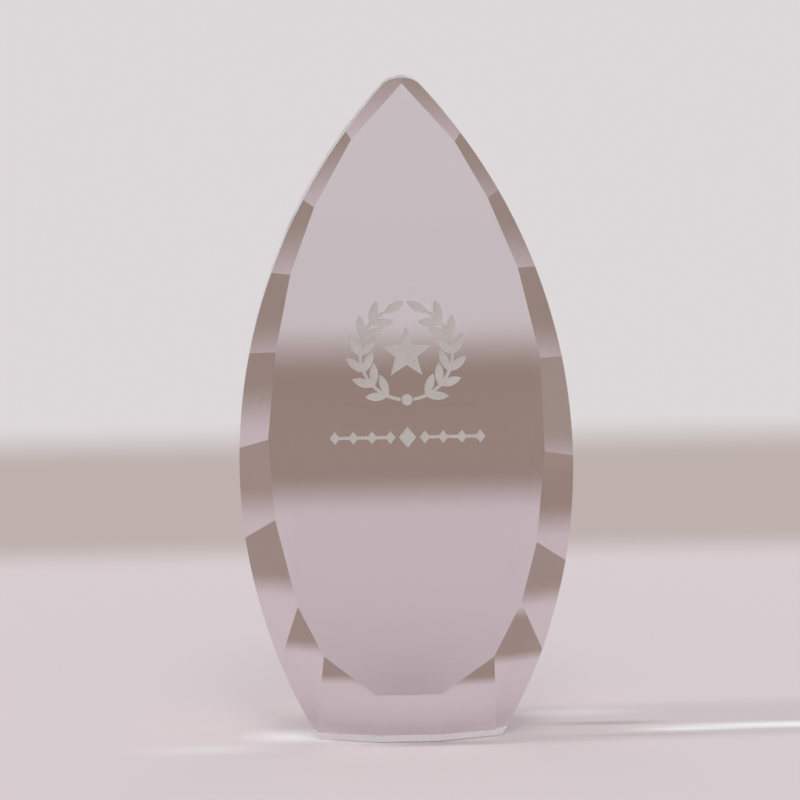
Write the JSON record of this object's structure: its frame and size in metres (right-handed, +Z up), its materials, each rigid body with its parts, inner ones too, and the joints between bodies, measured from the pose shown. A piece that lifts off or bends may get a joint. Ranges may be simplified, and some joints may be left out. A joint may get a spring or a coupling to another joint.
{
  "type": "crystal award",
  "caption": "Upright flame-shaped award of clear faceted crystal with a leaning front face and a frosted wreath-and-star emblem over an ornamental band.",
  "frame": {"origin": "middle of the foot, on the surface the award stands on, centred on the block's box", "axes": "+Z up through the tip, +X to the viewer's right, the leaning front face looks along -Y"},
  "size_m": [0.102, 0.0414, 0.2],
  "materials": {
    "optical_crystal": "clear optical crystal, polished facets",
    "frosted_skin": "sand-blasted frosted crystal"
  },
  "bodies": {
    "root": {"crystal_block": "optical_crystal", "emblem_star": "frosted_skin", "laurel_left": "frosted_skin", "laurel_right": "frosted_skin", "laurel_tie": "frosted_skin", "band_left": "frosted_skin", "band_lozenge": "frosted_skin", "band_right": "frosted_skin"}
  },
  "joints": []
}
